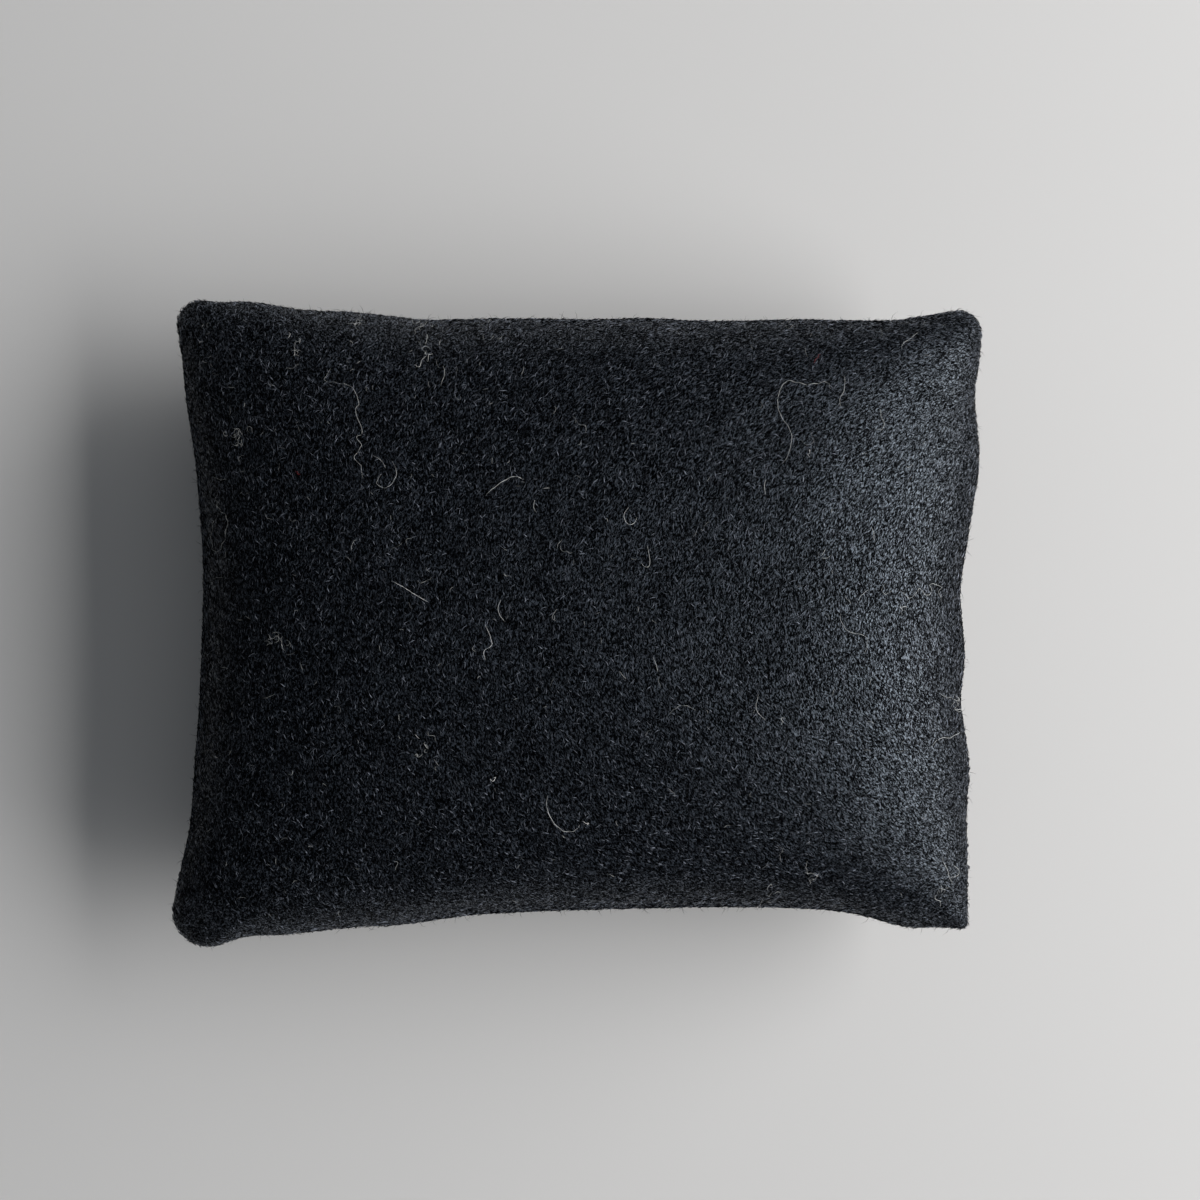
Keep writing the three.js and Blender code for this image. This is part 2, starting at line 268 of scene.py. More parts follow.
def colour_by(tree, shader, value, *stops):
    """Colours a shader by a value, between stops that each give a place from 0 to 1 and a colour."""
    ramp = add_node(tree, "ShaderNodeValToRGB", {"Fac": value})
    elements = ramp.color_ramp.elements
    for element, (place, colour) in zip(list(elements), (stops[0], stops[-1])):
        element.position, element.color = place, (*colour, 1)
    for place, colour in stops[1:-1]:
        elements.new(place).color = (*colour, 1)
    tree.links.new(ramp.outputs["Color"], shader.inputs["Base Color"])


def roughen(tree, shader, height, strength, depth):
    """Gives a shader's surface a fine relief."""
    bump = add_node(tree, "ShaderNodeBump", {"Height": height, "Strength": strength, "Distance": depth})
    tree.links.new(bump.outputs["Normal"], shader.inputs["Normal"])


# The way that the wool lies, as a turn from the length of the pad: along its width in the middle,
# fanning out on the right
NAP_TURN = 12.2
NAP_FAN = 279
STRAND_FINENESS = (5000, 2000, 3200)  # to a metre: across the nap, along it and upwards
MATTING_FINENESS = 260
MATTING_DEPTH = 0.08
# Towards the lower height the felt's colour goes near-black: painted shade in the sunken gaps between strands
RAISED_FROM, RAISED_TO = 0.54, 0.67  # heights between which a strand goes from sunken to raised
GLOSS_TINT = (0.75, 0.87, 1.0, 1)
GLOSS_FADE = 0.2  # how soon the gloss is lost where the felt turns away
STRAND_GLOSS, LEAST_GLOSS = 0.80, 0.015
STRAND_SHEEN, LEAST_SHEEN = 0.40, 0.01


def felt_material():
    """Matted black wool: fine lighter strands lying with the nap, and near-black between them, the wool's own
    black deepened into painted shade in the sunken gaps; with a soft broad gloss that fades where the felt
    turns away, because the fibres there hide each other."""
    material, tree, shader = new_material(
        "black_wool_felt", Roughness=0.38, Specular_IOR_Level=0.22, Specular_Tint=GLOSS_TINT,
        Sheen_Weight=0.12, Sheen_Roughness=0.4, Sheen_Tint=(0.72, 0.82, 1.0, 1),
    )
    maths = maths_in(tree)
    place = add_node(tree, "ShaderNodeTexCoord").outputs["Object"]
    x, y, z = add_node(tree, "ShaderNodeSeparateXYZ", {0: place}).outputs
    spread = maths("EXPONENT", maths("MULTIPLY", maths("MULTIPLY", y, y), -NAP_FAN / 2))
    across = maths("MULTIPLY", maths("ADD", x, NAP_TURN / NAP_FAN), spread)
    lying = add_node(tree, "ShaderNodeCombineXYZ", {
        i: maths("MULTIPLY", way, STRAND_FINENESS[i]) for i, way in enumerate((across, y, z))
    }).outputs[0]
    strands = noise(tree, lying, Scale=1, Detail=2, Roughness=0.5, Distortion=0.9)
    matting = noise(tree, place, Scale=MATTING_FINENESS, Detail=4)
    height = maths("MULTIPLY_ADD", matting, MATTING_DEPTH, strands)
    raised = add_node(
        tree, "ShaderNodeMapRange", {"Value": height, "From Min": RAISED_FROM, "From Max": RAISED_TO}
    ).outputs[0]
    aside = add_node(tree, "ShaderNodeLayerWeight", {"Blend": 0.5}).outputs["Facing"]
    gloss = maths("MULTIPLY_ADD", raised, STRAND_GLOSS, LEAST_GLOSS)
    gloss = maths("MULTIPLY", gloss, maths("POWER", maths("SUBTRACT", 1.0, aside), GLOSS_FADE))
    sheen = maths("MULTIPLY_ADD", raised, STRAND_SHEEN, LEAST_SHEEN)
    tree.links.new(gloss, shader.inputs["Specular IOR Level"])
    tree.links.new(sheen, shader.inputs["Sheen Weight"])
    # Painted shade: the sunken gaps get a near-black colour, darker than the wool's own black, while the
    # raised strands keep their own lighter tone
    colour_by(tree, shader, raised, (0, (0.0002, 0.0003, 0.0005)), (1, (0.028, 0.033, 0.043)))
    roughen(tree, shader, strands, 0.4, 0.0001)
    return material


# The filling's push, found by a cloth simulation of both outer faces, held along the seam
SETTLE_COLUMNS, SETTLE_ROWS = 84, 68
SETTLE_FRAMES = 20
SETTLE_EASING = 10
MOST_SETTLING = 0.0016
FILLING_PRESSURE = 2
FELT_GIVE = 0.004
FELT_STIFFNESS = 3


def settled():
    """How far the filling moves each grid point of the upper and of the lower outer face, eased over
    its neighbours, because felt as thick as this takes no small folds."""
    u, v = pillow_grid(SETTLE_COLUMNS, SETTLE_ROWS)
    upper = pillow_surface(u, v, 1).reshape(-1, 3)
    lower = pillow_surface(u, v, -1).reshape(-1, 3)
    seam = grid_rim(SETTLE_COLUMNS, SETTLE_ROWS)
    free = np.ones(len(upper), bool)
    free[seam] = False
    number = np.arange(len(upper))
    number[free] = len(upper) + np.arange(free.sum())
    faces = np.concatenate([
        grid_faces(SETTLE_COLUMNS, SETTLE_ROWS, True), number[grid_faces(SETTLE_COLUMNS, SETTLE_ROWS, False)],
    ])
    pillow = new_piece("settling_pillow", np.concatenate([upper, lower[free]]), faces)
    pillow.vertex_groups.new(name="seam").add(seam.tolist(), 1.0, "REPLACE")
    cloth = pillow.modifiers.new("filling", "CLOTH")
    cloth.settings.vertex_group_mass = "seam"
    cloth.settings.use_pressure = True
    cloth.settings.uniform_pressure_force = FILLING_PRESSURE
    cloth.settings.shrink_min = -FELT_GIVE
    cloth.settings.bending_stiffness = FELT_STIFFNESS
    cloth.settings.effector_weights.gravity = 0
    cloth.point_cache.frame_end = SETTLE_FRAMES
    for step in range(1, SETTLE_FRAMES + 1):
        bpy.context.scene.frame_set(step)
    result = pillow.evaluated_get(bpy.context.evaluated_depsgraph_get()).data
    moved = np.empty(len(result.vertices) * 3)
    result.vertices.foreach_get("co", moved)
    moved = moved.reshape(-1, 3)
    shifts = np.stack([moved[:len(upper)] - upper, moved[number] - lower]).reshape(2, *u.shape, 3)
    bpy.context.scene.frame_set(1)
    bpy.data.objects.remove(pillow)
    for _ in range(SETTLE_EASING):
        for axis in (1, 2):
            shifts = (np.roll(shifts, 1, axis) + 2 * shifts + np.roll(shifts, -1, axis)) / 4
    length = np.maximum(np.linalg.norm(shifts, axis=-1, keepdims=True), TINY)
    return shifts * MOST_SETTLING * np.tanh(length / MOST_SETTLING) / length


def finer(values, count, axis):
    """Values on an even grid, read off at more points along one axis on smooth cubics."""
    size = values.shape[axis]
    at = np.linspace(0, size - 1, count)
    start = np.minimum(at.astype(int), size - 2)
    t = at - start
    weights = [
        -0.5 * t + t ** 2 - 0.5 * t ** 3, 1 - 2.5 * t ** 2 + 1.5 * t ** 3,
        0.5 * t + 2 * t ** 2 - 1.5 * t ** 3, -0.5 * t ** 2 + 0.5 * t ** 3,
    ]
    shape = [1] * values.ndim
    shape[axis] = count
    taken = [np.take(values, np.clip(start + i - 1, 0, size - 1), axis) for i in range(4)]
    return sum(w.reshape(shape) * part for w, part in zip(weights, taken))


# The filling's unevenness: waves that run in random directions, their lengths between these two
LUMP_SEED = 11
LUMP_WAVES = 14
LUMP_LENGTHS = (0.016, 0.042)
LUMP_HEIGHT = 0.00014


def wool_lumps(plan):
    """Unevenness of the filling under the felt, about -1 to 1."""
    draw = np.random.default_rng(LUMP_SEED)
    relief = np.zeros(plan.shape[:-1])
    for _ in range(LUMP_WAVES):
        way, phase = draw.uniform(0, 2 * math.pi, 2)
        wave = 2 * math.pi / draw.uniform(*LUMP_LENGTHS)
        relief += np.sin(wave * (plan[..., 0] * math.cos(way) + plan[..., 1] * math.sin(way)) + phase)
    return relief / math.sqrt(LUMP_WAVES)


COLUMNS, ROWS = 200, 160
SEAM_HOLD = 6  # how close to the seam the felt is free to settle

# Rooms in a panel's map, each with its place and size: the outer face, the inner face and the allowance,
# which is laid out in strips with a little room between them
MAP_ROOMS = ((0.01, 0.01), (0.98, 0.80)), ((0.01, 0.83), (0.48, 0.16)), ((0.51, 0.83), (0.48, 0.16))
STRIP_EDGES = [0.05, 0.05, 0.95, 0.95]


def felt_faces(side, shifts):
    """Grid points of a panel's outer and inner face, settled on the filling."""
    u, v = pillow_grid(COLUMNS, ROWS)
    push = finer(finer(shifts, ROWS + 1, 0), COLUMNS + 1, 1)
    free = 1 - np.maximum(np.abs(u), np.abs(v)) ** SEAM_HOLD
    made = []
    for inset in (0.0, FELT_THICKNESS):
        points = pillow_surface(u, v, side, inset)
        lumps = side * LUMP_HEIGHT * wool_lumps(points[..., :2]) * free
        points += push * free[..., None]
        points[..., 2] += SEAM_HEIGHT + lumps
        if side < 0:
            points[..., 2] = np.maximum(points[..., 2], inset)
        made.append(points)
    return made


def felt_panel(name, node, side, shifts, material):
    """A closed shell: outer face, folded edge, allowance turned in along the seam, inner face. Its map gives
    most of the room to the outer face, as an even blend of its plan and its grid."""
    outer, inner = (points.reshape(-1, 3) for points in felt_faces(side, shifts))
    rim = grid_rim(COLUMNS, ROWS)
    outer[rim, 2] = SEAM_HEIGHT + side * FOLD_GAP
    allowance = [(part, 0) for part in (1 / 3, 2 / 3, 1)] + [(part, 1) for part in (1, 2 / 3, 1 / 3)]
    rings = []
    for part, upper in allowance:
        ring = outer[rim].copy()
        ring[:, 0] *= 1 - 2 * ALLOWANCE_WIDTH * part / PAD_LENGTH
        ring[:, 1] *= 1 - 2 * ALLOWANCE_WIDTH * part / PAD_WIDTH
        ring[:, 2] += side * FELT_THICKNESS * upper
        rings.append(ring)
    starts = [len(outer) + i * len(rim) for i in range(len(rings) + 1)]
    loops = [rim] + [start + np.arange(len(rim)) for start in starts[:-1]] + [starts[-1] + rim]
    faces = [grid_faces(COLUMNS, ROWS, side > 0), starts[-1] + grid_faces(COLUMNS, ROWS, side < 0)]
    (outer_at, outer_size), (inner_at, inner_size), (strips_at, strips_size) = MAP_ROOMS
    share = np.stack(pillow_grid(COLUMNS, ROWS), -1).reshape(-1, 2) / 4 + 0.25
    even = np.meshgrid(np.linspace(0, 0.5, COLUMNS + 1), np.linspace(0, 0.5, ROWS + 1))
    share += np.stack(even, -1).reshape(-1, 2)
    chart = [
        share[faces[0]] * outer_size + outer_at,
        share[faces[1] - starts[-1]] * inner_size + inner_at,
    ]
    along = np.arange(len(rim))
    for i, (near, far) in enumerate(zip(loops, loops[1:])):
        band = np.stack([near, np.roll(near, -1), np.roll(far, -1), far], -1)
        strip = np.stack([
            strips_at[0] + strips_size[0] * np.stack([along, along + 1, along + 1, along], -1) / len(rim),
            strips_at[1] + strips_size[1] * (i + np.tile(STRIP_EDGES, (len(rim), 1))) / (len(loops) - 1),
        ], -1)
        faces.append(band[:, ::-1] if side > 0 else band)
        chart.append(strip[:, ::-1] if side > 0 else strip)
    panel = new_piece(name, np.concatenate([outer, *rings, inner]), np.concatenate(faces), material)
    panel.data.uv_layers.new(name="OFBake").data.foreach_set("uv", np.concatenate(chart).ravel())
    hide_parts(node)
    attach(panel, "root")
    return outer


felt = felt_material()
upper_shifts, lower_shifts = settled()
lower_skin = felt_panel("felt_bottom", "bottom_panel", -1, lower_shifts, felt)
upper_skin = felt_panel("felt_top", "top_panel", 1, upper_shifts, felt)

# Seam thread: one black polyester thread that joins the panels with a running stitch inside the fold,
# knotted at both ends of the gap through which the pad is turned and filled.
THREAD_DIAMETER = 0.0006


def thread_material():
    """Twisted black polyester: a little glossy, with the shadow between its plies."""
    material, tree, shader = new_material("black_thread", Roughness=0.45, Specular_IOR_Level=0.4)
    lint = noise(tree, add_node(tree, "ShaderNodeTexCoord").outputs["Object"], Scale=4000, Detail=2)
    colour_by(tree, shader, lint, (0.3, (0.004, 0.004, 0.005)), (0.7, (0.020, 0.021, 0.025)))
    roughen(tree, shader, lint, 0.3, 0.0001)
    return material


thread = thread_material()
for slot in frame["nodes"]["seam_thread"].material_slots:
    slot.material = thread

# Wool filling: six layers of carded wool batt, cut to the inside of the pad and stacked, which the needle
# is stabbed into. They are soft at their edges and lie against the felt and each other.
WOOL_VOXEL = 0.0015
WOOL_SMOOTHING = 8
WOOL_EASE = 0.0003
WOOL_UNEVENNESS = 0.8
SAME_POINT = 1e-6


def wool_material():
    """Carded natural wool: cream, cloudy, with fine fibres lying in all directions."""
    material, tree, shader = new_material(
        "carded_wool", Roughness=1.0, Sheen_Weight=0.4, Sheen_Roughness=0.5, Specular_IOR_Level=0.1
    )
    place = add_node(tree, "ShaderNodeTexCoord").outputs["Object"]
    clouds = noise(tree, place, Scale=90, Detail=3)
    fibres = noise(tree, place, Scale=900, Detail=5, Distortion=2)
    colour_by(tree, shader, clouds, (0.3, (0.58, 0.51, 0.39)), (0.7, (0.80, 0.74, 0.62)))
    roughen(tree, shader, fibres, 0.7, 0.0006)
    return material


def wool_batt(node, material):
    """A layer in its node's place, with its cut edges softened."""
    mesh = frame["nodes"][node].data.copy()
    merged = bmesh.new()
    merged.from_mesh(mesh)
    bmesh.ops.remove_doubles(merged, verts=merged.verts, dist=SAME_POINT)
    merged.to_mesh(mesh)
    merged.free()
    mesh.materials.clear()
    batt = bpy.data.objects.new(node.replace("wool_", ""), mesh)
    bpy.context.scene.collection.objects.link(batt)
    remesh = batt.modifiers.new("carding", "REMESH")
    remesh.mode = "VOXEL"
    remesh.voxel_size = WOOL_VOXEL
    soften = batt.modifiers.new("softening", "SMOOTH")
    soften.iterations = WOOL_SMOOTHING
    made = bpy.data.meshes.new_from_object(batt.evaluated_get(bpy.context.evaluated_depsgraph_get()))
    batt.modifiers.clear()
    batt.data = made
    bpy.data.meshes.remove(mesh)
    points = np.empty(len(made.vertices) * 3)
    normals = np.empty(len(made.vertices) * 3)
    made.vertices.foreach_get("co", points)
    made.vertex_normals.foreach_get("vector", normals)
    points = points.reshape(-1, 3)
    ease = WOOL_EASE * (1 + WOOL_UNEVENNESS * wool_lumps(points[:, :2]))
    made.vertices.foreach_set("co", (points - normals.reshape(-1, 3) * ease[:, None]).ravel())
    smooth(made)
    made.materials.append(material)
    made.update()
    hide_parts(node)
    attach(batt, "root")


wool = wool_material()
for layer in ("lower_2", "lower_1", "core", "upper_1", "upper_2", "upper_3"):
    wool_batt(f"wool_batt_{layer}", wool)

# Closing thread: the gap in the right side, sewn up by hand with the same black thread. Each whip stitch
# goes through both folds and over the seam, and pulls the folds together.
CLOSING_START = 0.008
CLOSING_LENGTH = 0.056
WHIP_COUNT = 14
WHIP_STEPS = 20
WHIP_BITE = 0.0021
WHIP_REACH = 0.0012
WHIP_OFFSET = 0.0004
PLIES = 3
PLY_TURNS = 700  # to a metre
PLY_SIDES = 7
PLY_RADIUS = 0.232  # as a share of the thread's diameter
PLY_LAY = 0.268  # from the thread's middle to a ply's, as such a share


def new_tree(name, inputs):
    """A Geometry Nodes tree with its named inputs, and the node that gives them."""
    tree = bpy.data.node_groups.new(name, "GeometryNodeTree")
    tree.interface.new_socket("Geometry", in_out="INPUT", socket_type="NodeSocketGeometry")
    for label, kind in inputs.items():
        tree.interface.new_socket(label, in_out="INPUT", socket_type=kind)
    tree.interface.new_socket("Geometry", in_out="OUTPUT", socket_type="NodeSocketGeometry")
    return tree, add_node(tree, "NodeGroupInput").outputs


def end_tree(tree, geometry, material):
    """Makes a tree's instances real, gives them their material and hands them out."""
    real = add_node(tree, "GeometryNodeRealizeInstances", {"Geometry": geometry})
    finished = add_node(tree, "GeometryNodeSetMaterial", {"Geometry": real.outputs[0], "Material": material})
    add_node(tree, "NodeGroupOutput", {"Geometry": finished.outputs[0]})


def grow(piece, tree, **values):
    """Runs a tree on a piece with these inputs, and keeps the result as the piece's plain mesh."""
    modifier = piece.modifiers.new(tree.name, "NODES")
    modifier.node_group = tree
    for item in tree.interface.items_tree:
        if item.in_out == "INPUT" and item.name.replace(" ", "_") in values:
            modifier[item.identifier] = values[item.name.replace(" ", "_")]
    made = bpy.data.meshes.new_from_object(piece.evaluated_get(bpy.context.evaluated_depsgraph_get()))
    piece.modifiers.remove(modifier)
    old = piece.data
    piece.data = made
    bpy.data.meshes.remove(old)
    made.name = piece.name


def plied_tree(material):
    """Plies wound round each other along a line of edges."""
    tree, given = new_tree("plied_thread", {"Diameter": "NodeSocketFloat", "Turns": "NodeSocketFloat"})
    maths = maths_in(tree)

    def vectors(operation, **inputs):
        sockets = {int(key[1:]) if key[0] == "v" else key: value for key, value in inputs.items()}
        return add_node(tree, "ShaderNodeVectorMath", sockets, operation=operation).outputs[0]

    line = add_node(tree, "GeometryNodeMeshToCurve", {"Mesh": given["Geometry"]}).outputs[0]
    line = add_node(tree, "GeometryNodeSetCurveNormal", {"Curve": line}).outputs[0]
    along = add_node(tree, "GeometryNodeInputTangent").outputs[0]
    out = add_node(tree, "GeometryNodeInputNormal").outputs[0]
    across = vectors("CROSS_PRODUCT", v0=along, v1=out)
    length = add_node(tree, "GeometryNodeSplineParameter").outputs["Length"]
    winding = maths("MULTIPLY", maths("MULTIPLY", length, given["Turns"]), 2 * math.pi)
    ply_radius = maths("MULTIPLY", given["Diameter"], PLY_RADIUS)
    lay_radius = maths("MULTIPLY", given["Diameter"], PLY_LAY)
    round_ply = add_node(
        tree, "GeometryNodeCurvePrimitiveCircle", {"Resolution": PLY_SIDES, "Radius": ply_radius}
    ).outputs[0]
    joined = add_node(tree, "GeometryNodeJoinGeometry")
    for i in range(PLIES):
        turn = maths("ADD", winding, 2 * math.pi * i / PLIES)
        aside = vectors(
            "ADD", v0=vectors("SCALE", v0=out, Scale=maths("COSINE", turn)),
            v1=vectors("SCALE", v0=across, Scale=maths("SINE", turn)),
        )
        ply = add_node(tree, "GeometryNodeSetPosition", {
            "Geometry": line, "Offset": vectors("SCALE", v0=aside, Scale=lay_radius),
        }).outputs[0]
        tube = add_node(
            tree, "GeometryNodeCurveToMesh", {"Curve": ply, "Profile Curve": round_ply, "Fill Caps": True}
        ).outputs[0]
        tree.links.new(tube, joined.inputs[0])
    end_tree(tree, joined.outputs[0], material)
    return tree


def whip_line():
    """The closing thread's path: along the bottom of the groove, inside the felt and out across it."""
    line = seam_outline()[:SIDE_POINTS + CORNER_POINTS]
    steps = np.linalg.norm(np.diff(line, axis=0), axis=1)
    distance = np.concatenate([[0], np.cumsum(steps)])
    ahead = np.gradient(line, axis=0)
    ahead /= np.linalg.norm(ahead, axis=1, keepdims=True)
    turn = np.linspace(math.pi, math.pi + 2 * math.pi * WHIP_COUNT, WHIP_COUNT * WHIP_STEPS + 1)
    at = CLOSING_START + CLOSING_LENGTH * np.linspace(0, 1, len(turn))
    place = np.stack([np.interp(at, distance, line[:, i]) for i in (0, 1)], 1)
    outwards = np.stack([np.interp(at, distance, ahead[:, 1]), -np.interp(at, distance, ahead[:, 0])], 1)
    reach = WHIP_OFFSET - CREASE_DEPTH + WHIP_REACH * np.cos(turn)
    return np.column_stack([place + outwards * reach[:, None], SEAM_HEIGHT + WHIP_BITE * np.sin(turn)])


def new_line(name, points, edges):
    """Edges alone, as an object in the scene, for a tree to grow on."""
    line = bpy.data.objects.new(name, bpy.data.meshes.new(name))
    line.data.from_pydata(points, edges, [])
    bpy.context.scene.collection.objects.link(line)
    return line


stitch_line = whip_line()
stitch_edges = [(i, i + 1) for i in range(len(stitch_line) - 1)]
closing = new_line("closing_stitches", stitch_line.tolist(), stitch_edges)
grow(closing, plied_tree(thread), Diameter=THREAD_DIAMETER, Turns=PLY_TURNS)
smooth(closing.data)
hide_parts("closing_thread")
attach(closing, "root")

# Nap: short wool fibres in the felt's face, matted flat and lying one way on the crown, turning with the felt
# towards the corners, and a sparse fuzz of finer ones that stand up and show along the outline.
FIBRE_SIDES = 3
FIBRE_RINGS = (0.0, 0.5)
FIBRE_BENDS = [(0.1, 0.06), (-0.2, 0.08), (0.4, 0.05), (-0.5, 0.1), (0.6, 0.12), (-0.05, 0.03)]
NAP_THICKNESS = 0.060  # half of a fibre's thickness, as a share of its length
FUZZ_THICKNESS = 0.016
LIFT_RARITY = 3.0  # above 1, few fibres stand up
PALE_RARITY = 9.0  # above 1, few fibres are pale
FIBRE_GLOSS, LEAST_FIBRE_GLOSS = 1.0, 0.035
BARE_BAND = 0.0022  # height above the table below which the felt has no nap
NAP = dict(Density=0.9e6, Shortest=0.0004, Longest=0.0012, Stray=0.9, Lift=0.35)
FUZZ = dict(Density=0.32e6, Shortest=0.0009, Longest=0.0020, Stray=3.1, Lift=1.2)
UPPER_NAP_PIECES = 5
LOWER_NAP_PIECES = 2


def fibre_shape(name, bend, arch, thickness):
    """A fibre of unit length along X, closed at its root and drawn to a point, with a map for its colour."""
    spine = [(t, bend * t * t, arch * math.sin(math.pi * t)) for t in (*FIBRE_RINGS, 1)]
    points, faces = [], [tuple(range(FIBRE_SIDES))[::-1]]
    for x, y, z in spine[:-1]:
        for i in range(FIBRE_SIDES):
            turn = 2 * math.pi * i / FIBRE_SIDES
            points.append((x, y + thickness * math.cos(turn), z + thickness * math.sin(turn)))
    tip = len(points)
    points.append(spine[-1])
    for i in range(FIBRE_SIDES):
        after = (i + 1) % FIBRE_SIDES
        faces.append((i, after, FIBRE_SIDES + after, FIBRE_SIDES + i))
        faces.append((tip - FIBRE_SIDES + i, tip - FIBRE_SIDES + after, tip))
    mesh = bpy.data.meshes.new(name)
    mesh.from_pydata(points, [], faces)
    smooth(mesh)
    chart = mesh.uv_layers.new(name="fibre_chart")
    for loop in mesh.loops:
        x, _, z = points[loop.vertex_index]
        chart.data[loop.index].uv = (0.2 + 0.6 * x, 0.5 + 0.3 * z / (thickness + arch))
    return bpy.data.objects.new(name, mesh)


def nap_material():
    """Single black wool fibres: each with its own shade between black and a bluish grey, softly glossy."""
    material, tree, shader = new_material(
        "wool_nap", Roughness=0.4, Specular_IOR_Level=0.2, Specular_Tint=GLOSS_TINT
    )
    shade = add_node(tree, "ShaderNodeAttribute", attribute_name="shade").outputs["Fac"]
    gloss = maths_in(tree)("MULTIPLY_ADD", shade, FIBRE_GLOSS, LEAST_FIBRE_GLOSS)
    tree.links.new(gloss, shader.inputs["Specular IOR Level"])
    colour_by(tree, shader, shade, (0, (0.0004, 0.0005, 0.0009)), (1, (0.230, 0.250, 0.300)))
    return material


def stored(tree, geometry, name, value, kind, domain):
    """Geometry that carries a value under this name."""
    return add_node(
        tree, "GeometryNodeStoreNamedAttribute", {"Geometry": geometry, "Name": name, "Value": value},
        data_type=kind, domain=domain,
    ).outputs[0]


def named(tree, name, kind="FLOAT"):
    """The value that geometry carries under this name."""
    return add_node(tree, "GeometryNodeInputNamedAttribute", {"Name": name}, data_type=kind).outputs[0]


def without(tree, geometry, *names):
    """Geometry that no longer carries these values."""
    for name in names:
        removed = add_node(tree, "GeometryNodeRemoveAttribute", {"Geometry": geometry, "Name": name})
        geometry = removed.outputs[0]
    return geometry


def nap_tree(name, thickness, material):
    """Fibres of this thickness to their length, scattered over a face and laid its way."""
    shapes = bpy.data.collections.new(f"{name}_shapes")
    for i, (bend, arch) in enumerate(FIBRE_BENDS):
        shapes.objects.link(fibre_shape(f"{name}_{i}", bend, arch, thickness))
    tree, given = new_tree(name, {
        "Density": "NodeSocketFloat", "Seed": "NodeSocketInt", "Shortest": "NodeSocketFloat",
        "Longest": "NodeSocketFloat", "Stray": "NodeSocketFloat", "Lift": "NodeSocketFloat",
    })
    maths = maths_in(tree)

    def chance(low, high, salt):
        seed = maths("ADD", given["Seed"], salt)
        return add_node(tree, "FunctionNodeRandomValue", {2: low, 3: high, "Seed": seed}).outputs[1]

    def turned(rotation, axis, angle):
        by = add_node(tree, "FunctionNodeAxisAngleToRotation", {"Axis": axis, "Angle": angle}).outputs[0]
        return add_node(
            tree, "FunctionNodeRotateRotation", {0: rotation, 1: by}, rotation_space="LOCAL"
        ).outputs[0]

    scattered = add_node(tree, "GeometryNodeDistributePointsOnFaces", {
        "Mesh": given["Geometry"], "Density": given["Density"], "Seed": given["Seed"],
    })
    place = add_node(tree, "GeometryNodeInputPosition").outputs[0]
    x, y, _ = add_node(tree, "ShaderNodeSeparateXYZ", {0: place}).outputs
    fan = maths("MULTIPLY_ADD", x, NAP_FAN, NAP_TURN)
    lie = maths("SUBTRACT", math.pi / 2, maths("MULTIPLY", fan, y))
    way = add_node(tree, "ShaderNodeCombineXYZ", {0: maths("COSINE", lie), 1: maths("SINE", lie)}).outputs[0]
    rooted = add_node(
        tree, "FunctionNodeAlignRotationToVector", {"Vector": scattered.outputs["Normal"]}, axis="Z"
    ).outputs[0]
    combed = add_node(
        tree, "FunctionNodeAlignRotationToVector", {"Rotation": rooted, "Vector": way},
        axis="X", pivot_axis="Z",
    ).outputs[0]
    astray = maths("MULTIPLY", given["Stray"], chance(-1.0, 1.0, 1))
    lift = maths("MULTIPLY", given["Lift"], maths("POWER", chance(0.0, 1.0, 2), LIFT_RARITY))
    standing = turned(turned(combed, (0, 0, 1), astray), (0, -1, 0), lift)
    length = add_node(tree, "FunctionNodeRandomValue", {
        2: given["Shortest"], 3: given["Longest"], "Seed": maths("ADD", given["Seed"], 3),
    }).outputs[1]
    kinds = add_node(tree, "GeometryNodeCollectionInfo", {
        "Collection": shapes, "Separate Children": True, "Reset Children": True,
    }).outputs[0]
    fibres = add_node(tree, "GeometryNodeInstanceOnPoints", {
        "Points": scattered.outputs["Points"], "Instance": kinds, "Pick Instance": True,
        "Rotation": standing, "Scale": length,
    }).outputs[0]
    shade = maths("POWER", chance(0.0, 1.0, 4), PALE_RARITY)
    index = add_node(tree, "GeometryNodeInputIndex").outputs[0]
    fibres = stored(tree, fibres, "shade", shade, "FLOAT", "INSTANCE")
    fibres = stored(tree, fibres, "number", index, "INT", "INSTANCE")
    count = add_node(
        tree, "GeometryNodeAttributeDomainSize", {"Geometry": fibres}, component="INSTANCES"
    ).outputs["Instance Count"]
    cells = maths("CEIL", maths("SQRT", count))
    real = add_node(tree, "GeometryNodeRealizeInstances", {"Geometry": fibres}).outputs[0]
    number = named(tree, "number", "INT")
    chart = named(tree, "fibre_chart", "FLOAT_VECTOR")
    cell = add_node(tree, "ShaderNodeCombineXYZ", {
        0: maths("MODULO", number, cells), 1: maths("FLOOR", maths("DIVIDE", number, cells)),
    }).outputs[0]
    spot = add_node(tree, "ShaderNodeVectorMath", {0: cell, 1: chart}, operation="ADD").outputs[0]
    spot = add_node(
        tree, "ShaderNodeVectorMath", {0: spot, "Scale": maths("DIVIDE", 1.0, cells)}, operation="SCALE"
    ).outputs[0]
    mapped = stored(tree, real, "OFBake", spot, "FLOAT2", "CORNER")
    end_tree(tree, without(tree, mapped, "fibre_chart", "number"), material)
    return tree, shapes


def nap_piece(name, tree, skin, side, seed, values):
    """Fibres on one face of the pad, above the surface that it lies on."""
    faces = grid_faces(COLUMNS, ROWS, side > 0)
    faces = faces[skin[faces][..., 2].min(1) > BARE_BAND]
    piece = new_piece(name, skin, faces)
    grow(piece, tree, Seed=seed, **values)
    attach(piece, "root")


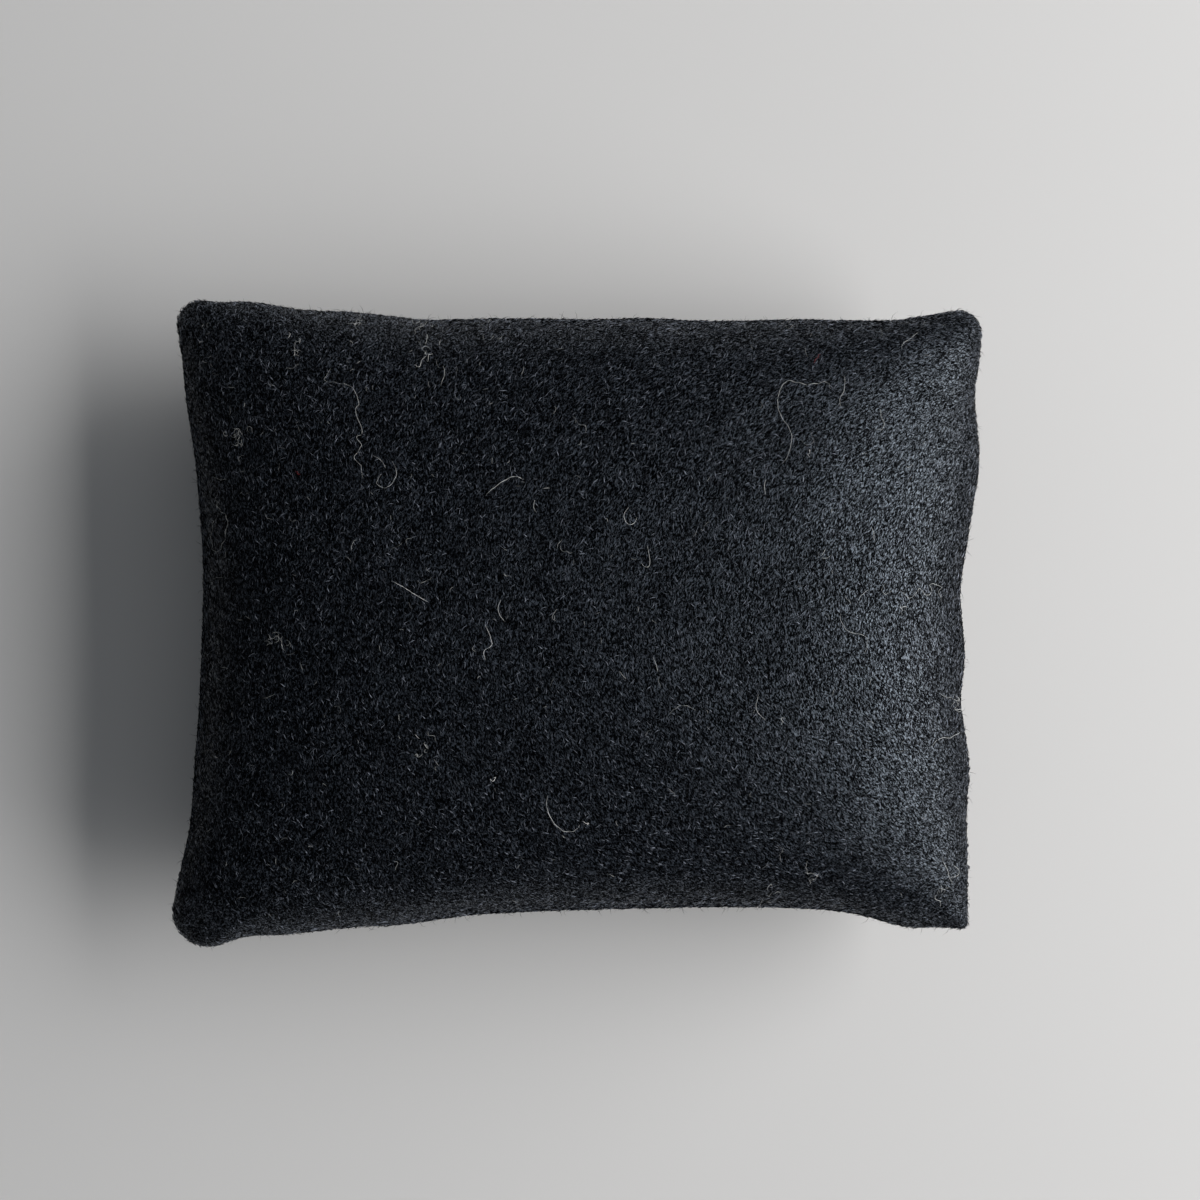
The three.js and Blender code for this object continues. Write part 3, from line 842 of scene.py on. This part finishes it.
fibre = nap_material()
nap, nap_shapes = nap_tree("nap", NAP_THICKNESS, fibre)
fuzz, fuzz_shapes = nap_tree("fuzz", FUZZ_THICKNESS, fibre)
for i in range(UPPER_NAP_PIECES):
    nap_piece(f"nap_top_{i + 1}", nap, upper_skin, 1, 10 + i, NAP)
for i in range(LOWER_NAP_PIECES):
    nap_piece(f"nap_bottom_{i + 1}", nap, lower_skin, -1, 20 + i, NAP)
nap_piece("fuzz_top", fuzz, upper_skin, 1, 30, FUZZ)
nap_piece("fuzz_bottom", fuzz, lower_skin, -1, 31, FUZZ)

for shapes in (nap_shapes, fuzz_shapes):
    for shape in list(shapes.objects):
        bpy.data.objects.remove(shape)
    bpy.data.collections.remove(shapes)

# Stray wool: pale hairs and tangles that the felt has picked up from the wool worked on it. They lie loose
# on its upper face, held by the nap, most of them along the left and back edges.
HAIR_RADIUS = 0.000029
HAIR_STEP = 0.00025
HAIR_LIFT = 0.00025
HAIR_RIPPLE = 0.7  # how unevenly a hair lies on the felt, as a share of its lift
RIPPLE_TURN = 0.9  # from one point of a hair to the next
HAIR_SIDES = 4
HAIR_TAPER = 0.7  # how much thinner a hair is at its ends
STEEPEST = 0.2  # upward part of the felt's normal below which no hair lies

# Random hairs: how pale they are, their lengths in millimetres, and how far they turn at each step.
# Lint lies within these millimetres from the pad's middle, and the crowding, above 1, takes it to the
# left and to the back.
HAIR_SEED = 5
WANDER_STEP = 0.4
TANGLE_SHADES, TANGLE_LENGTHS, TANGLE_TURNS = (0.25, 0.70), (1.0, 3.2), 0.8
LINT_SHADES, LINT_SHORTEST, LINT_LONGER, LINT_TURNS = (0.08, 0.40), 0.5, 0.7, 0.45
LINT_COUNT = 260
LINT_X, LINT_Y = 70, 56
LINT_CROWDING = (1.5, 1.25)
SPECK_LENGTH, SPECK_TURNS = 2.4, 1.6

# The camera over the pad, from the photo's pixels: the pad's length, the picture's width, and how far
# the picture's middle lies to the right of the pad's and behind it
PAD_PIXELS = 809
PICTURE_PIXELS = 1200
RIGHT_PIXELS, BEHIND_PIXELS = 22.5, 23.5
PIXEL = PAD_LENGTH / PAD_PIXELS
CAMERA_LENS = 50
SENSOR_WIDTH = 36
CAMERA_RISE = PICTURE_PIXELS * PIXEL * CAMERA_LENS / SENSOR_WIDTH
EYE = Vector((RIGHT_PIXELS * PIXEL, BEHIND_PIXELS * PIXEL, SEAM_HEIGHT + CAMERA_RISE))

# Single hairs: how pale, and the places that each runs through, in millimetres from the pad's middle
# on the plane of the seam, as seen from above
HAIRS = [
    (0.45, [
        (-45.7, 47.0), (-46.8, 45.0), (-44.0, 44.4), (-41.8, 43.7), (-40.5, 40.9), (-41.1, 39.2),
        (-39.8, 35.5), (-40.9, 34.4), (-40.0, 32.9), (-41.3, 30.7), (-40.1, 29.2), (-39.8, 26.8),
    ]),
    (0.45, [(-34.2, 29.9), (-33.5, 28.1), (-34.0, 26.4), (-35.5, 25.1), (-37.2, 26.0), (-36.2, 27.7)]),
    (0.40, [(-37.9, 31.1), (-36.4, 30.2), (-35.5, 28.8)]),
    (0.40, [
        (-66.5, 24.9), (-66.8, 22.9), (-66.1, 21.0), (-64.8, 19.6), (-65.2, 15.7), (-66.5, 13.3),
        (-67.6, 14.4), (-67.4, 18.3), (-66.1, 20.3),
    ]),
    (0.35, [(-67.2, 27.2), (-66.0, 26.6), (-64.8, 26.8)]),
    (0.70, [(-17.0, 23.8), (-14.4, 25.9), (-11.8, 27.2), (-9.9, 26.6)]),
    (0.50, [(-6.6, 24.9), (-5.2, 25.1)]),
    (0.65, [(9.5, 21.5), (8.6, 20.2), (8.9, 18.9), (9.7, 18.3), (10.6, 18.7), (11.0, 19.7)]),
    (0.90, [(-34.4, 7.9), (-32.0, 6.6), (-30.3, 5.5), (-27.7, 4.0)]),
    (0.40, [(-7.9, 22.9), (-8.1, 21.4), (-7.5, 20.5)]),
    (0.50, [(12.9, 14.4), (13.3, 12.5), (13.3, 10.7), (12.5, 10.5), (11.8, 11.2)]),
    (0.50, [(-14.2, 4.4), (-14.7, 2.9), (-14.4, 1.6), (-13.4, 0.3)]),
    (0.65, [(-17.1, -0.1), (-16.2, -2.3), (-15.9, -4.0), (-17.3, -5.1), (-17.1, -6.8)]),
    (0.40, [(-3.8, 2.7), (-4.7, 1.2), (-4.0, 0.5)]),
    (0.45, [(14.0, -6.2), (14.5, -7.5), (14.9, -9.0)]),
    (0.40, [(7.7, -8.8), (9.0, -10.3)]),
    (0.55, [
        (46.8, 43.3), (46.1, 44.6), (42.5, 44.2), (38.8, 44.8), (37.2, 42.2), (37.4, 39.0), (39.6, 35.1),
        (39.0, 31.2), (37.9, 29.6),
    ]),
    (0.50, [(34.8, 26.6), (34.6, 24.9), (34.9, 23.8)]),
    (0.45, [(49.4, 45.9), (49.4, 43.3), (48.5, 41.3), (49.0, 39.6)]),
    (0.45, [(63.1, 53.7), (60.4, 51.8), (60.0, 50.7)]),
    (0.65, [(-5.5, -31.8), (-5.7, -33.8), (-4.7, -36.4), (-2.7, -38.3), (-0.6, -38.3), (0.5, -37.2)]),
    (0.45, [(33.5, -13.1), (33.1, -15.9), (34.8, -17.9)]),
    (0.60, [(65.2, -22.9), (67.2, -21.2), (68.9, -21.2), (70.7, -20.1)]),
    (0.50, [(67.4, -43.1), (68.9, -47.2), (69.4, -48.3)]),
    (0.50, [(68.9, -47.2), (70.7, -46.1), (69.4, -44.6)]),
    (0.55, [
        (59.7, 6.1), (61.6, 4.7), (63.1, 6.5), (63.8, 5.9), (64.5, 5.3), (65.4, 5.6),
        (65.2, 7.0), (65.7, 7.4), (67.1, 6.8), (66.8, 5.7), (67.3, 4.2),
    ]),
    (0.45, [(56.8, 7.3), (56.3, 6.1), (57.0, 5.4), (58.2, 6.1)]),
    (0.50, [(-24.9, 47.7), (-24.6, 46.3), (-25.3, 44.0)]),
    (0.45, [(55.9, 39.8), (56.2, 38.5), (56.7, 36.8), (56.2, 35.8), (55.2, 36.1)]),
    (0.40, [(60.7, 29.1), (61.4, 28.9), (62.1, 29.6)]),
    (0.45, [(54.4, 18.0), (54.7, 17.1), (54.8, 16.1), (55.1, 15.3)]),
    (0.45, [(45.9, 13.8), (45.1, 12.5)]),
    (0.40, [(48.6, 1.8), (48.9, 0.1), (50.2, -1.5), (51.9, -1.9), (53.4, -2.5), (53.6, -3.9), (53.2, -5.5)]),
    (0.40, [(52.2, 4.2), (52.4, 5.1), (53.2, 5.8), (54.0, 6.3)]),
]

# Tangles of short hairs: the middle and breadth of each, and how many
TANGLES = [
    (-63.1, 34.8, 2.4, 10), (-28.1, 54.6, 2.0, 8), (-28.1, 50.1, 1.8, 7), (-41.3, 55.9, 1.4, 5),
    (-52.5, 51.3, 1.5, 6), (-56.1, -3.1, 1.6, 8), (-27.4, -23.5, 2.2, 8), (44.2, -46.8, 1.2, 5),
    (34.8, -50.3, 1.4, 5), (67.2, -49.4, 1.6, 5), (69.8, -14.6, 1.6, 8),
]

# Specks of lint: how pale, with 1 for the red ones, and where
SPECKS = [
    (0.95, (-15.5, -28.5)), (0.95, (0.8, -36.6)), (0.95, (60.0, 2.7)), (0.80, (42.9, 30.7)),
    (0.70, (37.9, -18.8)), (1.0, (45.0, 49.6)), (1.0, (-51.5, 27.5)),
]


def wandering(draw, x, y, length, wander):
    """A line of random bends, in millimetres."""
    way = draw.uniform(0, 2 * math.pi)
    bias = draw.normal(0, wander / 2)
    line = [(x, y)]
    for _ in range(max(2, round(length / WANDER_STEP))):
        way += bias + draw.normal(0, wander)
        x, y = x + WANDER_STEP * math.cos(way), y + WANDER_STEP * math.sin(way)
        line.append((x, y))
    return line


def all_hairs():
    """The hairs above, the tangles, random lint, densest on the left and at the back, and the specks."""
    draw = np.random.default_rng(HAIR_SEED)
    hairs = list(HAIRS)
    for x, y, breadth, count in TANGLES:
        for _ in range(count):
            at = draw.normal((x, y), breadth / 2)
            shade = draw.uniform(*TANGLE_SHADES)
            length = draw.uniform(*TANGLE_LENGTHS)
            hairs.append((shade, wandering(draw, *at, length, TANGLE_TURNS)))
    for _ in range(LINT_COUNT):
        x = -LINT_X + 2 * LINT_X * draw.random() ** LINT_CROWDING[0]
        y = LINT_Y - 2 * LINT_Y * draw.random() ** LINT_CROWDING[1]
        shade = draw.uniform(*LINT_SHADES)
        length = LINT_SHORTEST + draw.exponential(LINT_LONGER)
        hairs.append((shade, wandering(draw, x, y, length, LINT_TURNS)))
    for shade, at in SPECKS:
        hairs.append((shade, wandering(draw, *at, SPECK_LENGTH, SPECK_TURNS)))
    return hairs


def hair_lines(hairs):
    """Lines laid on the upper face where they are seen from above, with each one's number and paleness."""
    top_face = BVHTree.FromPolygons(upper_skin.tolist(), grid_faces(COLUMNS, ROWS, True).tolist())
    points, edges, numbers, paleness = [], [], [], []
    for number, (shade, places) in enumerate(hairs):
        places = np.array(places) / 1000
        length = np.linalg.norm(np.diff(places, axis=0), axis=1).sum()
        before = None
        for i, (x, y) in enumerate(finer(places, max(5, round(length / HAIR_STEP)), 0)):
            target = Vector((x, y, SEAM_HEIGHT))
            spot, normal, _, _ = top_face.ray_cast(EYE, (target - EYE).normalized())
            if spot is None or normal.z < STEEPEST:
                break
            lift = HAIR_LIFT * (1 + HAIR_RIPPLE * math.sin(RIPPLE_TURN * i + 2 * number))
            points.append(spot + normal * lift)
            numbers.append(number)
            paleness.append(shade)
            if before is not None:
                edges.append((before, len(points) - 1))
            before = len(points) - 1
    return points, edges, numbers, paleness


def hair_material():
    """Pale wool: each hair its own shade between grey and cream, and a few specks of red lint."""
    material, tree, shader = new_material("stray_wool", Roughness=0.6, Specular_IOR_Level=0.3)
    shade = add_node(tree, "ShaderNodeAttribute", attribute_name="shade").outputs["Fac"]
    colour_by(
        tree, shader, shade, (0, (0.04, 0.043, 0.048)), (0.5, (0.46, 0.47, 0.46)),
        (0.95, (0.85, 0.86, 0.85)), (1, (0.22, 0.015, 0.015)),
    )
    return material


def hair_tree(material):
    """A tapered tube along each line, with a map that gives each its own cell."""
    tree, given = new_tree("stray_hair", {"Radius": "NodeSocketFloat", "Cells": "NodeSocketFloat"})
    maths = maths_in(tree)
    line = add_node(tree, "GeometryNodeMeshToCurve", {"Mesh": given["Geometry"]}).outputs[0]
    along = add_node(tree, "GeometryNodeSplineParameter").outputs["Factor"]
    middle = maths("ABSOLUTE", maths("MULTIPLY_ADD", along, 2.0, -1.0))
    taper = maths("SUBTRACT", 1.0, maths("MULTIPLY", maths("POWER", middle, 4.0), HAIR_TAPER))
    line = stored(tree, line, "along", along, "FLOAT", "POINT")
    ring = add_node(
        tree, "GeometryNodeCurvePrimitiveCircle", {"Resolution": HAIR_SIDES, "Radius": given["Radius"]}
    ).outputs[0]
    ring = stored(tree, ring, "around", along, "FLOAT", "POINT")
    tube = add_node(tree, "GeometryNodeCurveToMesh", {
        "Curve": line, "Profile Curve": ring, "Scale": taper, "Fill Caps": True,
    }).outputs[0]
    column = maths("MODULO", named(tree, "hair"), given["Cells"])
    across = maths("ADD", column, maths("MULTIPLY_ADD", named(tree, "along"), 0.8, 0.1))
    row = maths("FLOOR", maths("DIVIDE", named(tree, "hair"), given["Cells"]))
    up = maths("ADD", row, maths("MULTIPLY_ADD", named(tree, "around"), 0.8, 0.1))
    spot = add_node(tree, "ShaderNodeCombineXYZ", {
        0: maths("DIVIDE", across, given["Cells"]), 1: maths("DIVIDE", up, given["Cells"]),
    }).outputs[0]
    tube = stored(tree, tube, "OFBake", spot, "FLOAT2", "CORNER")
    end_tree(tree, without(tree, tube, "along", "around", "hair"), material)
    return tree


points, edges, numbers, paleness = hair_lines(all_hairs())
strays = new_line("stray_wool", [tuple(point) for point in points], edges)
for name, values in (("hair", [float(number) for number in numbers]), ("shade", paleness)):
    strays.data.attributes.new(name, "FLOAT", "POINT").data.foreach_set("value", values)
cells = math.ceil(math.sqrt(numbers[-1] + 1))
grow(strays, hair_tree(hair_material()), Radius=HAIR_RADIUS, Cells=float(cells))
smooth(strays.data)
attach(strays, "root")

# Stage: a pale floor, one wide soft lamp from the right and a faint one above, and a camera straight
# over the pad. The room gives little light, but is pale where the camera sees it past the floor.
FLOOR_REACH = 1.0
FILL_LIGHT = 0.135
BACKDROP_SHADE = 0.6
LAMPS_AIM = Vector((0, 0, 0.02))

floor_material, _, _ = new_material("pale_floor", Roughness=0.9, Base_Color=(0.60, 0.59, 0.58, 1))
floor_corners = [(FLOOR_REACH * x, FLOOR_REACH * y, 0) for x, y in ((-1, -1), (1, -1), (1, 1), (-1, 1))]
floor = new_piece("floor", floor_corners, [(0, 1, 2, 3)], floor_material)

world = bpy.data.worlds.new("studio")
bpy.context.scene.world = world
world.use_nodes = True
room = world.node_tree
seen = add_node(room, "ShaderNodeLightPath").outputs["Is Camera Ray"]
strength = maths_in(room)("MULTIPLY_ADD", seen, BACKDROP_SHADE - FILL_LIGHT, FILL_LIGHT)
room.nodes["Background"].inputs["Color"].default_value = (0.85, 0.92, 1.0, 1)
room.links.new(strength, room.nodes["Background"].inputs["Strength"])

for name, energy, breadth, depth, place in (
    ("window", 34.0, 1.6, 1.0, (1.0, 0.06, 0.46)),
    ("ceiling", 0.9, 1.0, 1.0, (0.35, 0.0, 1.3)),
):
    lamp_data = bpy.data.lights.new(name, "AREA")
    lamp_data.shape = "RECTANGLE"
    lamp_data.size = breadth
    lamp_data.size_y = depth
    lamp_data.energy = energy
    lamp = bpy.data.objects.new(name, lamp_data)
    lamp.location = place
    lamp.rotation_euler = (LAMPS_AIM - lamp.location).to_track_quat("-Z", "Y").to_euler()
    bpy.context.scene.collection.objects.link(lamp)

camera_data = bpy.data.cameras.new("overhead")
camera_data.lens = CAMERA_LENS
camera_data.sensor_width = SENSOR_WIDTH
camera = bpy.data.objects.new("overhead", camera_data)
camera.location = EYE
bpy.context.scene.collection.objects.link(camera)
bpy.context.scene.camera = camera
bpy.context.scene.view_settings.view_transform = "Standard"
